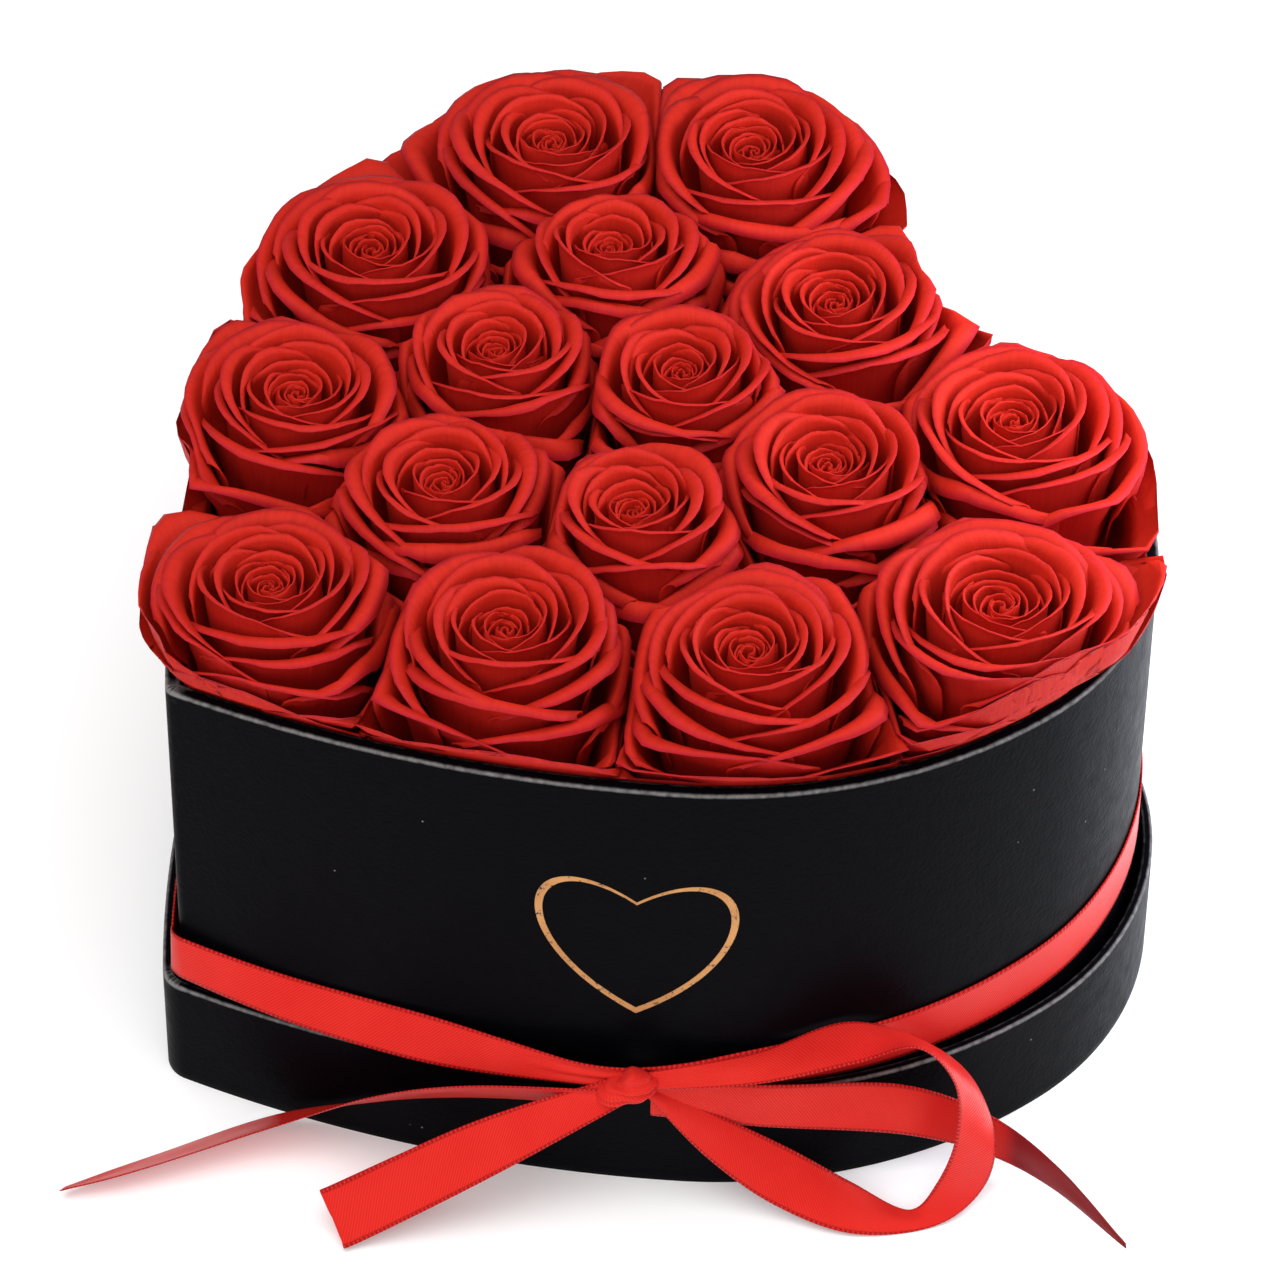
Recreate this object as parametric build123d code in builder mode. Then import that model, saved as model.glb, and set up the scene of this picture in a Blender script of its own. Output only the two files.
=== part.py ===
"""Heart-shaped gift box of rose heads, standing in its own upturned lid.

The lid lies flat on its closed face and works as a tray, the box of board and leather-grain
paper stands in it, a block of foam fills the box, and sixteen rose heads on short stems are
pushed into the foam. A satin ribbon runs round the box and ends in a bow at the front.

All sizes are in millimetres. +Z is up, the wall with the foil mark faces -Y, and the origin is at
the middle of the lid's closed face, on the surface it stands on.
"""

import os
from math import acos, cos, degrees, hypot, radians, sin

from build123d import *

os.makedirs("parts", exist_ok=True)

# The heart outline of the box, from its point to its cleft: a long side, a shoulder, a lobe
AXIS_ANGLE = 34.5  # direction from the point to the cleft, from +X
TIP = (-114.1, -84.8)
TIP_HALF_ANGLE = 59.4
SIDE_RADIUS = 333.0
SIDE_SWEEP = 21.2
SHOULDER_RADIUS = 121.7
SHOULDER_SWEEP = 42.4
LOBE_RADIUS = 70.3
TIP_ROUNDING = 3.0
CLEFT_ROUNDING = 7.0
SHARPEST_ROUNDING = 0.6

# Board and paper
PAPER = 0.3
BOX_WALL_BOARD = 3.0
BOX_BASE_BOARD = 2.4
LID_BOARD = 2.0
LID_GAP = 2.0  # between the box and the inside of the lid, all round

# Heights above the surface
BOX_TOP = 130.0
LID_TOP = 33.0
BOX_TURN_IN = 20.0  # how far the wrap is folded down inside the rim
LID_TURN_IN = 18.0
FOAM_TOP = 92.0
STEM_BOTTOM = 62.0
CALYX_BOTTOM = 93.0
HEAD_BOTTOM = 97.0
HEAD_WIDEST = 134.0
HEAD_TOP = 152.0

# Roses: place in plan and radius of each head
ROSES = [
    (-29, 86, 29),
    (21, 85, 29),
    (-71, 47, 28),
    (-14, 47, 24),
    (41, 31, 29),
    (-88, -4, 28),
    (-40, 11, 25),
    (4, 6, 24),
    (82, -10, 29),
    (-51, -33, 27),
    (-6, -42, 24),
    (38, -25, 27),
    (-90, -68, 28),
    (-36, -80, 29),
    (20, -86, 29),
    (76, -71, 31),
]
STEM_RADIUS = 2.2
CALYX_RADIUS = 6.5
HEAD_GAP = 0.15  # from a head to the plane that parts it from its neighbour
RIM_GAP = 0.4  # from a head to the wall and the rim
OVERHANG = 15.0  # more than any head reaches over the rim

# Foil mark
MARK_CENTRE = (-5.7, 81.0)
MARK_WIDTH = 48.0
MARK_LINE = 1.8
MARK_REACH = 60.0  # how far forwards the line is looked for on the wall
FOIL = 0.1

# Ribbon and bow
RIBBON_WIDTH = 15.0
RIBBON = 0.4
BAND_TOP = 60.6  # height of the band's upper edge over the origin
BAND_NORMAL = (-0.023, -0.136, 1)  # the band is low at the front and high at the back
KNOT_CENTRE = (-6.0, -120.5, 38.4)
KNOT_SIZE = (18.0, 11.0, 9.6)
KNOT_ROUNDING = 3.0
LOOP_NECK = -2.0
LOOP_REACH = 54.0  # from the neck to the middle of the open loop's round end
LOOP_END_RADIUS = 22.5
LOOP_NECK_RADIUS = 2.5
LOOP_NECK_HEIGHT = 38.0
LOOP_FRONT = 136.8  # how far forwards the open loop comes
FOLD_RADIUS = 1.8
FOLDED_LOOP_START = (-12.5, -123.5, 40.0)
FOLDED_LOOP_END = (-77.0, -138.0, 6.6)
FOLDED_LOOP_FACING = (-0.17, -0.75, 0.64)
TAIL_BEND = 25.0
TAIL_REACH = 150.0
TAIL_RIGHT_ROUTE = [(-2, -120.9), (45, -120.4), (85, -114), (111, -136)]
TAIL_RIGHT_SIDE_VIEW = [(-2, 36), (55, 33), (85, 17), (111, 5), (111, 0.3), (94, 0.3), (60, 14), (-2, 22)]
TAIL_LEFT_ROUTE = [(-10, -120.9), (-50, -117), (-90, -108.5), (-142, -127)]
TAIL_LEFT_SIDE_VIEW = [(-10, 36), (-55, 28), (-90, 17), (-142, 6), (-142, 0.3), (-112, 0.3), (-60, 12), (-10, 22)]

LID_INSIDE = LID_GAP
LID_BOARD_IN = LID_GAP + PAPER
LID_BOARD_OUT = LID_BOARD_IN + LID_BOARD
LID_OUTSIDE = LID_BOARD_OUT + PAPER
LID_FLOOR = PAPER + LID_BOARD + PAPER
BOX_BOARD_OUT = -PAPER
BOX_BOARD_IN = BOX_BOARD_OUT - BOX_WALL_BOARD
BOX_INSIDE = BOX_BOARD_IN - PAPER
BOX_FLOOR = LID_FLOOR + PAPER + BOX_BASE_BOARD


def heart_plane(height: float) -> Plane:
    """The level plane at a height, with its X along the heart's axis and its origin at the point."""
    direction = (cos(radians(AXIS_ANGLE)), sin(radians(AXIS_ANGLE)), 0)
    return Plane(origin=(*TIP, height), x_dir=direction, z_dir=(0, 0, 1))


def on_arc(centre: tuple, radius: float, heading: float) -> tuple:
    """The point of a right-turning arc where it runs in the direction heading, in degrees."""
    angle = radians(heading)
    return (centre[0] - radius * sin(angle), centre[1] + radius * cos(angle))


def heart(offset: float) -> Sketch:
    """The heart outline as a face in its own plane, moved outwards from the box's outside by offset."""
    first = TIP_HALF_ANGLE
    second = first - SIDE_SWEEP
    third = second - SHOULDER_SWEEP
    side = (SIDE_RADIUS * sin(radians(first)), -SIDE_RADIUS * cos(radians(first)))
    shoulder = on_arc(side, SIDE_RADIUS - SHOULDER_RADIUS, second)
    lobe = on_arc(shoulder, SHOULDER_RADIUS - LOBE_RADIUS, third)
    start = degrees(acos(-side[1] / (SIDE_RADIUS + offset)))
    end = -degrees(acos(-lobe[1] / (LOBE_RADIUS + offset)))
    arcs = [
        (side, SIDE_RADIUS + offset, start, second),
        (shoulder, SHOULDER_RADIUS + offset, second, third),
        (lobe, LOBE_RADIUS + offset, third, end),
    ]
    with BuildSketch() as outline:
        with BuildLine():
            for centre, radius, begin, stop in arcs:
                ThreePointArc(
                    on_arc(centre, radius, begin),
                    on_arc(centre, radius, (begin + stop) / 2),
                    on_arc(centre, radius, stop),
                )
            mirror(about=Plane.XZ)
        make_face()
        corners = outline.vertices().filter_by_position(Axis.Y, -0.01, 0.01).sort_by(Axis.X)
        fillet(corners[0], max(TIP_ROUNDING + offset, SHARPEST_ROUNDING))
        cleft = outline.vertices().filter_by_position(Axis.Y, -0.01, 0.01).sort_by(Axis.X)[-1]
        fillet(cleft, max(CLEFT_ROUNDING - offset, SHARPEST_ROUNDING))
    return outline.sketch_local


def heart_ring(outer: float, inner: float, bottom: float, top: float, mode: Mode = Mode.ADD) -> None:
    """Put the upright wall between two offsets of the heart into the open part."""
    with BuildSketch(heart_plane(bottom)) as ring:
        add(heart(outer))
        add(heart(inner), mode=Mode.SUBTRACT)
    extrude(ring.sketch, amount=top - bottom, mode=mode)


def heart_slab(outer: float, bottom: float, top: float, mode: Mode = Mode.ADD) -> None:
    """Put a solid heart between two heights into the open part."""
    with BuildSketch(heart_plane(bottom)) as slab:
        add(heart(outer))
    extrude(slab.sketch, amount=top - bottom, mode=mode)


def upright_heart(width: float) -> Sketch:
    """A plain heart standing on its point, about its own middle."""
    half = width / 2
    with BuildSketch() as outline:
        with BuildLine():
            Bezier(
                (0, -1.1 * half),
                (1.5 * half, -0.1 * half),
                (1.1 * half, 1.4 * half),
                (0, 0.5 * half),
            )
            mirror(about=Plane.YZ)
        make_face()
    return outline.sketch_local


def write(part: Part, name: str) -> None:
    """Label a finished piece and write its STEP file."""
    part.label = name
    export_step(part, f"parts/{name}.step")


# Lid
with BuildPart() as lid_face_paper:
    heart_slab(LID_BOARD_OUT, 0, PAPER)
write(lid_face_paper.part, "lid_face_paper")

with BuildPart() as lid_face_board:
    heart_slab(LID_BOARD_OUT, PAPER, PAPER + LID_BOARD)
write(lid_face_board.part, "lid_face_board")

with BuildPart() as lid_wall_board:
    heart_ring(LID_BOARD_OUT, LID_BOARD_IN, PAPER + LID_BOARD, LID_TOP - PAPER)
write(lid_wall_board.part, "lid_wall_board")

with BuildPart() as lid_wrap:
    heart_ring(LID_OUTSIDE, LID_BOARD_OUT, 0, LID_TOP)
    heart_ring(LID_OUTSIDE, LID_INSIDE, LID_TOP - PAPER, LID_TOP)
    heart_ring(LID_BOARD_IN, LID_INSIDE, LID_TOP - LID_TURN_IN, LID_TOP)
write(lid_wrap.part, "lid_wrap")

with BuildPart() as lid_liner:
    heart_slab(LID_BOARD_IN, PAPER + LID_BOARD, LID_FLOOR)
    heart_ring(LID_BOARD_IN, LID_INSIDE, PAPER + LID_BOARD, LID_TOP - LID_TURN_IN)
write(lid_liner.part, "lid_liner")

# Box
with BuildPart() as box_base_paper:
    heart_slab(BOX_BOARD_OUT, LID_FLOOR, LID_FLOOR + PAPER)
write(box_base_paper.part, "box_base_paper")

with BuildPart() as box_base_board:
    heart_slab(BOX_BOARD_IN, LID_FLOOR + PAPER, BOX_FLOOR)
write(box_base_board.part, "box_base_board")

with BuildPart() as box_wall_board:
    heart_ring(BOX_BOARD_OUT, BOX_BOARD_IN, LID_FLOOR + PAPER, BOX_TOP - PAPER)
write(box_wall_board.part, "box_wall_board")

with BuildPart() as box_wrap:
    heart_ring(0, BOX_BOARD_OUT, LID_FLOOR, BOX_TOP)
    heart_ring(0, BOX_INSIDE, BOX_TOP - PAPER, BOX_TOP)
    heart_ring(BOX_BOARD_IN, BOX_INSIDE, BOX_TOP - BOX_TURN_IN, BOX_TOP)
write(box_wrap.part, "box_wrap")

with BuildPart() as box_liner:
    heart_ring(BOX_BOARD_IN, BOX_INSIDE, BOX_FLOOR, BOX_TOP - BOX_TURN_IN)
write(box_liner.part, "box_liner")

# Foil mark: a plain heart line on the front wall
with BuildPart() as foil_mark:
    with BuildSketch(Plane.XZ.offset(-TIP[1])) as mark_line:
        with Locations(MARK_CENTRE):
            add(upright_heart(MARK_WIDTH))
            add(upright_heart(MARK_WIDTH - 2 * MARK_LINE), mode=Mode.SUBTRACT)
    extrude(amount=MARK_REACH)
    heart_ring(FOIL, 0, 0, BOX_TOP, mode=Mode.INTERSECT)
write(foil_mark.part, "foil_mark")

# Foam, with a hole for each stem
with BuildPart() as foam_block:
    heart_slab(BOX_INSIDE - RIM_GAP, BOX_FLOOR, FOAM_TOP)
    with Locations(*[(x, y, FOAM_TOP) for x, y, _ in ROSES]):
        Hole(STEM_RADIUS, depth=FOAM_TOP - STEM_BOTTOM)
write(foam_block.part, "foam_block")

# Rose heads and stems
for number, (x, y, radius) in enumerate(ROSES, start=1):
    with BuildPart() as stem:
        with BuildSketch(Plane((x, y, 0), x_dir=(1, 0, 0), z_dir=(0, -1, 0))):
            with BuildLine():
                Polyline(
                    (0, STEM_BOTTOM),
                    (STEM_RADIUS, STEM_BOTTOM),
                    (STEM_RADIUS, CALYX_BOTTOM),
                    (CALYX_RADIUS, HEAD_BOTTOM),
                    (0, HEAD_BOTTOM),
                    close=True,
                )
            make_face()
        revolve(axis=Axis((x, y, 0), (0, 0, 1)))
    write(stem.part, f"stem_{number:02d}")

    with BuildPart() as head:
        with BuildSketch(Plane((x, y, 0), x_dir=(1, 0, 0), z_dir=(0, -1, 0))):
            with BuildLine():
                Line((0, HEAD_BOTTOM), (CALYX_RADIUS, HEAD_BOTTOM))
                ThreePointArc((CALYX_RADIUS, HEAD_BOTTOM), (0.8 * radius, 112), (radius, HEAD_WIDEST))
                ThreePointArc((radius, HEAD_WIDEST), (0.85 * radius, 146), (0.5 * radius, HEAD_TOP))
                Polyline((0.5 * radius, HEAD_TOP), (0, HEAD_TOP), (0, HEAD_BOTTOM))
            make_face()
        revolve(axis=Axis((x, y, 0), (0, 0, 1)))
        for other_x, other_y, other_radius in ROSES:
            apart = hypot(other_x - x, other_y - y)
            if not 0 < apart < radius + other_radius + 2 * HEAD_GAP:
                continue
            reach = (apart**2 + radius**2 - other_radius**2) / (2 * apart) - HEAD_GAP
            towards = ((other_x - x) / apart, (other_y - y) / apart)
            parting = Plane(
                origin=(x + reach * towards[0], y + reach * towards[1], 0),
                z_dir=(*towards, 0),
            )
            split(bisect_by=parting, keep=Keep.BOTTOM)
        heart_ring(OVERHANG, BOX_INSIDE - RIM_GAP, HEAD_BOTTOM, BOX_TOP + RIM_GAP, mode=Mode.SUBTRACT)
    write(head.part, f"rose_{number:02d}")

# Ribbon round the box
with BuildPart() as ribbon_band:
    heart_ring(RIBBON, 0, LID_FLOOR, BOX_TOP)
    upper = Plane(origin=(0, 0, BAND_TOP), z_dir=BAND_NORMAL)
    split(bisect_by=upper, keep=Keep.BOTTOM)
    split(bisect_by=upper.offset(-RIBBON_WIDTH), keep=Keep.TOP)
write(ribbon_band.part, "ribbon_band")

# Bow
with BuildPart() as bow_knot:
    with Locations(KNOT_CENTRE):
        Box(*KNOT_SIZE)
    fillet(bow_knot.edges(), KNOT_ROUNDING)
    heart_slab(RIBBON, 0, BOX_TOP, mode=Mode.SUBTRACT)
write(bow_knot.part, "bow_knot")

with BuildPart() as bow_loop_right:
    with BuildSketch(Plane.XZ.offset(LOOP_FRONT - RIBBON_WIDTH)):
        with Locations((LOOP_NECK, LOOP_NECK_HEIGHT)):
            Circle(LOOP_NECK_RADIUS)
        with Locations((LOOP_NECK + LOOP_REACH, LOOP_END_RADIUS + RIBBON)):
            Circle(LOOP_END_RADIUS)
        make_hull()
        offset(amount=-RIBBON, mode=Mode.SUBTRACT)
    extrude(amount=RIBBON_WIDTH)
    add(bow_knot.part, mode=Mode.SUBTRACT)
write(bow_loop_right.part, "bow_loop_right")

with BuildPart() as bow_loop_left:
    along = Vector(*FOLDED_LOOP_END) - Vector(*FOLDED_LOOP_START)
    folded_loop_plane = Plane(
        origin=FOLDED_LOOP_START,
        x_dir=along,
        z_dir=along.cross(Vector(*FOLDED_LOOP_FACING)),
    )
    with BuildSketch(folded_loop_plane):
        Circle(FOLD_RADIUS)
        with Locations((along.length - FOLD_RADIUS, 0)):
            Circle(FOLD_RADIUS)
        make_hull()
        offset(amount=-RIBBON, mode=Mode.SUBTRACT)
    extrude(amount=RIBBON_WIDTH / 2, both=True)
    add(bow_knot.part, mode=Mode.SUBTRACT)
write(bow_loop_left.part, "bow_loop_left")

for name, route, side_view in [
    ("ribbon_tail_right", TAIL_RIGHT_ROUTE, TAIL_RIGHT_SIDE_VIEW),
    ("ribbon_tail_left", TAIL_LEFT_ROUTE, TAIL_LEFT_SIDE_VIEW),
]:
    with BuildPart() as tail:
        with BuildSketch():
            with BuildLine():
                FilletPolyline(*route, radius=TAIL_BEND)
            trace(line_width=RIBBON)
        extrude(amount=KNOT_CENTRE[2])
        with BuildSketch(Plane.XZ):
            with BuildLine():
                Polyline(*side_view, close=True)
            make_face()
        extrude(amount=TAIL_REACH, mode=Mode.INTERSECT)
        add(bow_knot.part, mode=Mode.SUBTRACT)
    write(tail.part, name)
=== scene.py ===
"""A heart-shaped box of red rose heads, standing in its own lid and tied with a satin ribbon."""

import logging
import math
from dataclasses import dataclass, field
from enum import Enum
from typing import Callable

import bpy
import numpy as np
from mathutils import Matrix, Vector


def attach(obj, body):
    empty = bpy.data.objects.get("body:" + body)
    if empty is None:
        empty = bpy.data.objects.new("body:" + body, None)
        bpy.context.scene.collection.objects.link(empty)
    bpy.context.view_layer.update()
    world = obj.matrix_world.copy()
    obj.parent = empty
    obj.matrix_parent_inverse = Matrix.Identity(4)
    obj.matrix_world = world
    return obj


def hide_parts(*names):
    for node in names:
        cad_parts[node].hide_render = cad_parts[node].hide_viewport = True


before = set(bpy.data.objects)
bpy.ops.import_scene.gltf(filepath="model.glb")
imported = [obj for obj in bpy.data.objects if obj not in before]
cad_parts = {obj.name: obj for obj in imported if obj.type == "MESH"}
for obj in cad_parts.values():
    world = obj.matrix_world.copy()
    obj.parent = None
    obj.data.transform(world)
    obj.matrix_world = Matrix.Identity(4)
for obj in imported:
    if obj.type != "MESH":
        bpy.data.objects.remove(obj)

Socket = bpy.types.NodeSocket
LOG = logging.getLogger("flower_box")
MM = 0.001
FAR = 400.0  # mm, past every wall and head


class Slot(Enum):
    """The record's material slots."""

    BLACK_PAPER = "black_paper"
    BLACK_LINER = "black_liner"
    GREY_BOARD = "grey_board"
    FOAM = "foam"
    GOLD_FOIL = "gold_foil"
    RED_SATIN = "red_satin"
    ROSE_PETALS = "rose_petals"
    ROSE_STEM = "rose_stem"


class Body(Enum):
    """The two bodies of the frame."""

    LID = "lid"
    BOX = "box"


# ---------------------------------------------------------------- colours and nodes


def srgb(code: str) -> tuple[float, float, float, float]:
    """Turn an sRGB hex colour into linear values.

    Args:
        code: Six hex digits, with or without a leading #.

    Returns:
        Linear red, green, blue and an alpha of 1.
    """
    digits = code.lstrip("#")
    shares = [int(digits[i : i + 2], 16) / 255 for i in (0, 2, 4)]
    linear = [s / 12.92 if s <= 0.04045 else ((s + 0.055) / 1.055) ** 2.4 for s in shares]
    return (linear[0], linear[1], linear[2], 1.0)


def set_inputs(tree: bpy.types.NodeTree, node: bpy.types.Node, sockets: dict) -> None:
    """Set or link a node's inputs.

    Args:
        tree: The node tree it is in.
        node: The node.
        sockets: Input name or index to a value, or to the output socket linked to it.
    """
    for key, value in sockets.items():
        if isinstance(value, bpy.types.NodeSocket):
            tree.links.new(value, node.inputs[key])
        else:
            node.inputs[key].default_value = value


def add_node(tree: bpy.types.NodeTree, kind: str, sockets: dict | None = None, **settings) -> bpy.types.Node:
    """Add one node with its settings, values and links.

    Args:
        tree: The node tree it goes into.
        kind: The node's type name, without the ShaderNode that all of them start with.
        sockets: As for set_inputs.
        settings: Properties of the node itself.

    Returns:
        The new node.
    """
    node = tree.nodes.new(f"ShaderNode{kind}")
    for name, value in settings.items():
        setattr(node, name, value)
    set_inputs(tree, node, sockets or {})
    return node


def start_material(name: str) -> tuple[bpy.types.Material, bpy.types.NodeTree, bpy.types.Node, Socket]:
    """Start a material with one principled shader.

    Args:
        name: What the finish is.

    Returns:
        The material, its node tree, its shader and the object's own coordinates.
    """
    material = bpy.data.materials.new(name)
    material.use_nodes = True
    tree = material.node_tree
    tree.nodes.clear()
    shader = add_node(tree, "BsdfPrincipled")
    add_node(tree, "OutputMaterial", {"Surface": shader.outputs["BSDF"]})
    return material, tree, shader, add_node(tree, "TexCoord").outputs["Object"]


def lumps(size: float) -> float:
    """The scale of a texture whose lumps have a size in mm."""
    return 1 / (size * MM)


# ---------------------------------------------------------------- finishes


@dataclass(frozen=True)
class LeatherGrainPaper:
    """Coated black paper, embossed with a fine leather grain and worn pale along its creases, where a painted
    highlight is added to the wear.
    """

    colour: str = "#040407"
    worn_and_lit_colour: str = "#9C9A99"
    dust_colour: str = "#7C7C84"
    grain: float = 1.0  # width of a pebble of the grain, mm
    dent: float = 4.5  # width of a shallow dent, mm
    breaks: float = 1.8  # width of the breaks in a rubbed crease, mm
    dust_apart: float = 11.0  # mm
    speck: float = 0.022  # radius of a speck of dust, as a share of that
    roughness: tuple[float, float] = (0.35, 0.46)
    specular: float = 0.022

    def material(self) -> bpy.types.Material:
        """Make the material.

        Returns:
            Black paper with grain in its bump, dust specks, and pale wear with a painted highlight where the
            piece's per-vertex weights say.
        """
        # Embossed coated paper: black pigment under a thin half-gloss coat, so highlights are
        # broad and broken up by the pebbles, and the bare fibre shows pale where a crease is rubbed.
        # The same pale colour also paints the highlight that the creases catch, as painted highlight.
        material, tree, shader, place = start_material("embossed leather-grain paper, black")
        pebble = {"Vector": place, "Scale": lumps(self.grain), "Randomness": 0.9}
        pebbles = add_node(tree, "TexVoronoi", pebble, feature="SMOOTH_F1").outputs["Distance"]
        dent = {"Vector": place, "Scale": lumps(self.dent), "Detail": 3.0, "Roughness": 0.6}
        dents = add_node(tree, "TexNoise", dent).outputs["Fac"]
        relief = add_node(tree, "Math", {0: dents, 1: 0.8, 2: pebbles}, operation="MULTIPLY_ADD").outputs[0]
        bump = add_node(tree, "Bump", {"Strength": 0.32, "Distance": 0.22 * MM, "Height": relief})
        rubbed_and_lit = add_node(tree, "Attribute", attribute_name="wear_and_highlight").outputs["Fac"]
        fibre = {"Vector": place, "Scale": lumps(self.breaks), "Detail": 4.0, "Roughness": 0.6}
        fibres = add_node(tree, "TexNoise", fibre).outputs["Fac"]
        broken = add_node(tree, "Math", {0: rubbed_and_lit, 1: fibres}, operation="MULTIPLY").outputs[0]
        bare_and_lit = {"Value": broken, "From Min": 0.1, "From Max": 0.62, "To Max": 0.55}
        specks = add_node(tree, "TexVoronoi", {"Vector": place, "Scale": lumps(self.dust_apart)})
        speck = {0: specks.outputs["Distance"], 1: self.speck}
        tone = srgb(self.colour)
        # First layer: pale wear on the creases together with the painted highlight along them.
        for share, colour in (
            (add_node(tree, "MapRange", bare_and_lit).outputs["Result"], self.worn_and_lit_colour),
            (add_node(tree, "Math", speck, operation="LESS_THAN").outputs[0], self.dust_colour),
        ):
            layers = {"Factor": share, 6: tone, 7: srgb(colour)}
            tone = add_node(tree, "Mix", layers, data_type="RGBA").outputs[2]
        low, high = self.roughness
        coat = {"Value": dents, "From Min": 0.3, "From Max": 0.7, "To Min": low, "To Max": high}
        gloss = add_node(tree, "MapRange", coat).outputs["Result"]
        sockets = {"Base Color": tone, "Roughness": gloss, "Normal": bump.outputs["Normal"]}
        set_inputs(tree, shader, sockets | {"Specular IOR Level": self.specular})
        return material


@dataclass(frozen=True)
class FibrousSheet:
    """Uncoated paper or board: matt, with fibres in its colour and its surface."""

    name: str
    dark: str
    light: str
    fibre: float  # width of a fibre clump, mm
    roughness: float = 0.85
    specular: float = 0.25

    def material(self) -> bpy.types.Material:
        """Make the material.

        Returns:
            Matt fibrous stock between its two colours.
        """
        # Uncoated stock: pressed fibres scatter the light, so there is no highlight, only mottling.
        material, tree, shader, place = start_material(self.name)
        fibre = {"Vector": place, "Scale": lumps(self.fibre), "Detail": 6.0, "Roughness": 0.7}
        fibres = add_node(tree, "TexNoise", fibre).outputs["Fac"]
        colours = {"Factor": fibres, 6: srgb(self.dark), 7: srgb(self.light)}
        tone = add_node(tree, "Mix", colours, data_type="RGBA").outputs[2]
        bump = add_node(tree, "Bump", {"Strength": 0.3, "Distance": 0.1 * MM, "Height": fibres})
        sockets = {"Base Color": tone, "Normal": bump.outputs["Normal"]}
        set_inputs(tree, shader, sockets | {"Roughness": self.roughness, "Specular IOR Level": self.specular})
        return material


@dataclass(frozen=True)
class FlowerFoam:
    """Phenolic flower foam, cut with a knife."""

    colour: str = "#22351F"
    pore_shade_colour: str = "#0E180D"
    pore: float = 0.8  # mm
    roughness: float = 0.95
    specular: float = 0.1

    def material(self) -> bpy.types.Material:
        """Make the material.

        Returns:
            Dark green foam with open pores, painted darker inside them as shade.
        """
        # Phenolic foam: brittle open cells, so it is quite matt and pitted all over; the pores are painted
        # darker, as painted shade.
        material, tree, shader, place = start_material("phenolic flower foam, dark green")
        pores = add_node(tree, "TexVoronoi", {"Vector": place, "Scale": lumps(self.pore)}).outputs["Distance"]
        # Painted shade: the pores get the darker colour.
        colours = {"Factor": pores, 6: srgb(self.pore_shade_colour), 7: srgb(self.colour)}
        tone = add_node(tree, "Mix", colours, data_type="RGBA").outputs[2]
        bump = add_node(tree, "Bump", {"Strength": 0.6, "Distance": 0.3 * MM, "Height": pores})
        sockets = {"Base Color": tone, "Normal": bump.outputs["Normal"]}
        set_inputs(tree, shader, sockets | {"Roughness": self.roughness, "Specular IOR Level": self.specular})
        return material


@dataclass(frozen=True)
class HotFoil:
    """Gold-coloured foil, stamped hot on the paper, with gaps where the grain kept it off."""

    gold: str = "#D9A066"
    bronze: str = "#A9713F"
    paper: str = "#0B0B0E"
    gap: float = 1.6  # mm
    patch: float = 9.0  # width of a duller patch, mm
    grain: float = 1.0  # of the paper under it, mm
    metal: float = 0.75
    roughness: float = 0.45

    def material(self) -> bpy.types.Material:
        """Make the material.

        Returns:
            Foil that breaks up to bare paper in small patches.
        """
        # Hot-stamped foil: a metal film pressed into the grain, half matt, missing in small flecks.
        material, tree, shader, place = start_material("hot-stamped metal foil, gold")
        fleck = {"Vector": place, "Scale": lumps(self.gap), "Detail": 4.0, "Roughness": 0.8}
        flecks = add_node(tree, "TexNoise", fleck).outputs["Fac"]
        stuck = {"Value": flecks, "From Min": 0.37, "From Max": 0.43}
        kept = add_node(tree, "MapRange", stuck).outputs["Result"]
        patch = {"Vector": place, "Scale": lumps(self.patch), "Detail": 2.0}
        patches = add_node(tree, "TexNoise", patch).outputs["Fac"]
        film = {"Factor": patches, 6: srgb(self.bronze), 7: srgb(self.gold)}
        metal = add_node(tree, "Mix", film, data_type="RGBA").outputs[2]
        stamped = {"Factor": kept, 6: srgb(self.paper), 7: metal}
        tone = add_node(tree, "Mix", stamped, data_type="RGBA").outputs[2]
        pebble = {"Vector": place, "Scale": lumps(self.grain)}
        pebbles = add_node(tree, "TexVoronoi", pebble, feature="SMOOTH_F1").outputs["Distance"]
        bump = add_node(tree, "Bump", {"Strength": 0.25, "Distance": 0.1 * MM, "Height": pebbles})
        metallic = add_node(tree, "Math", {0: kept, 1: self.metal}, operation="MULTIPLY").outputs[0]
        sockets = {"Base Color": tone, "Metallic": metallic, "Normal": bump.outputs["Normal"]}
        set_inputs(tree, shader, sockets | {"Roughness": self.roughness})
        return material


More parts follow.
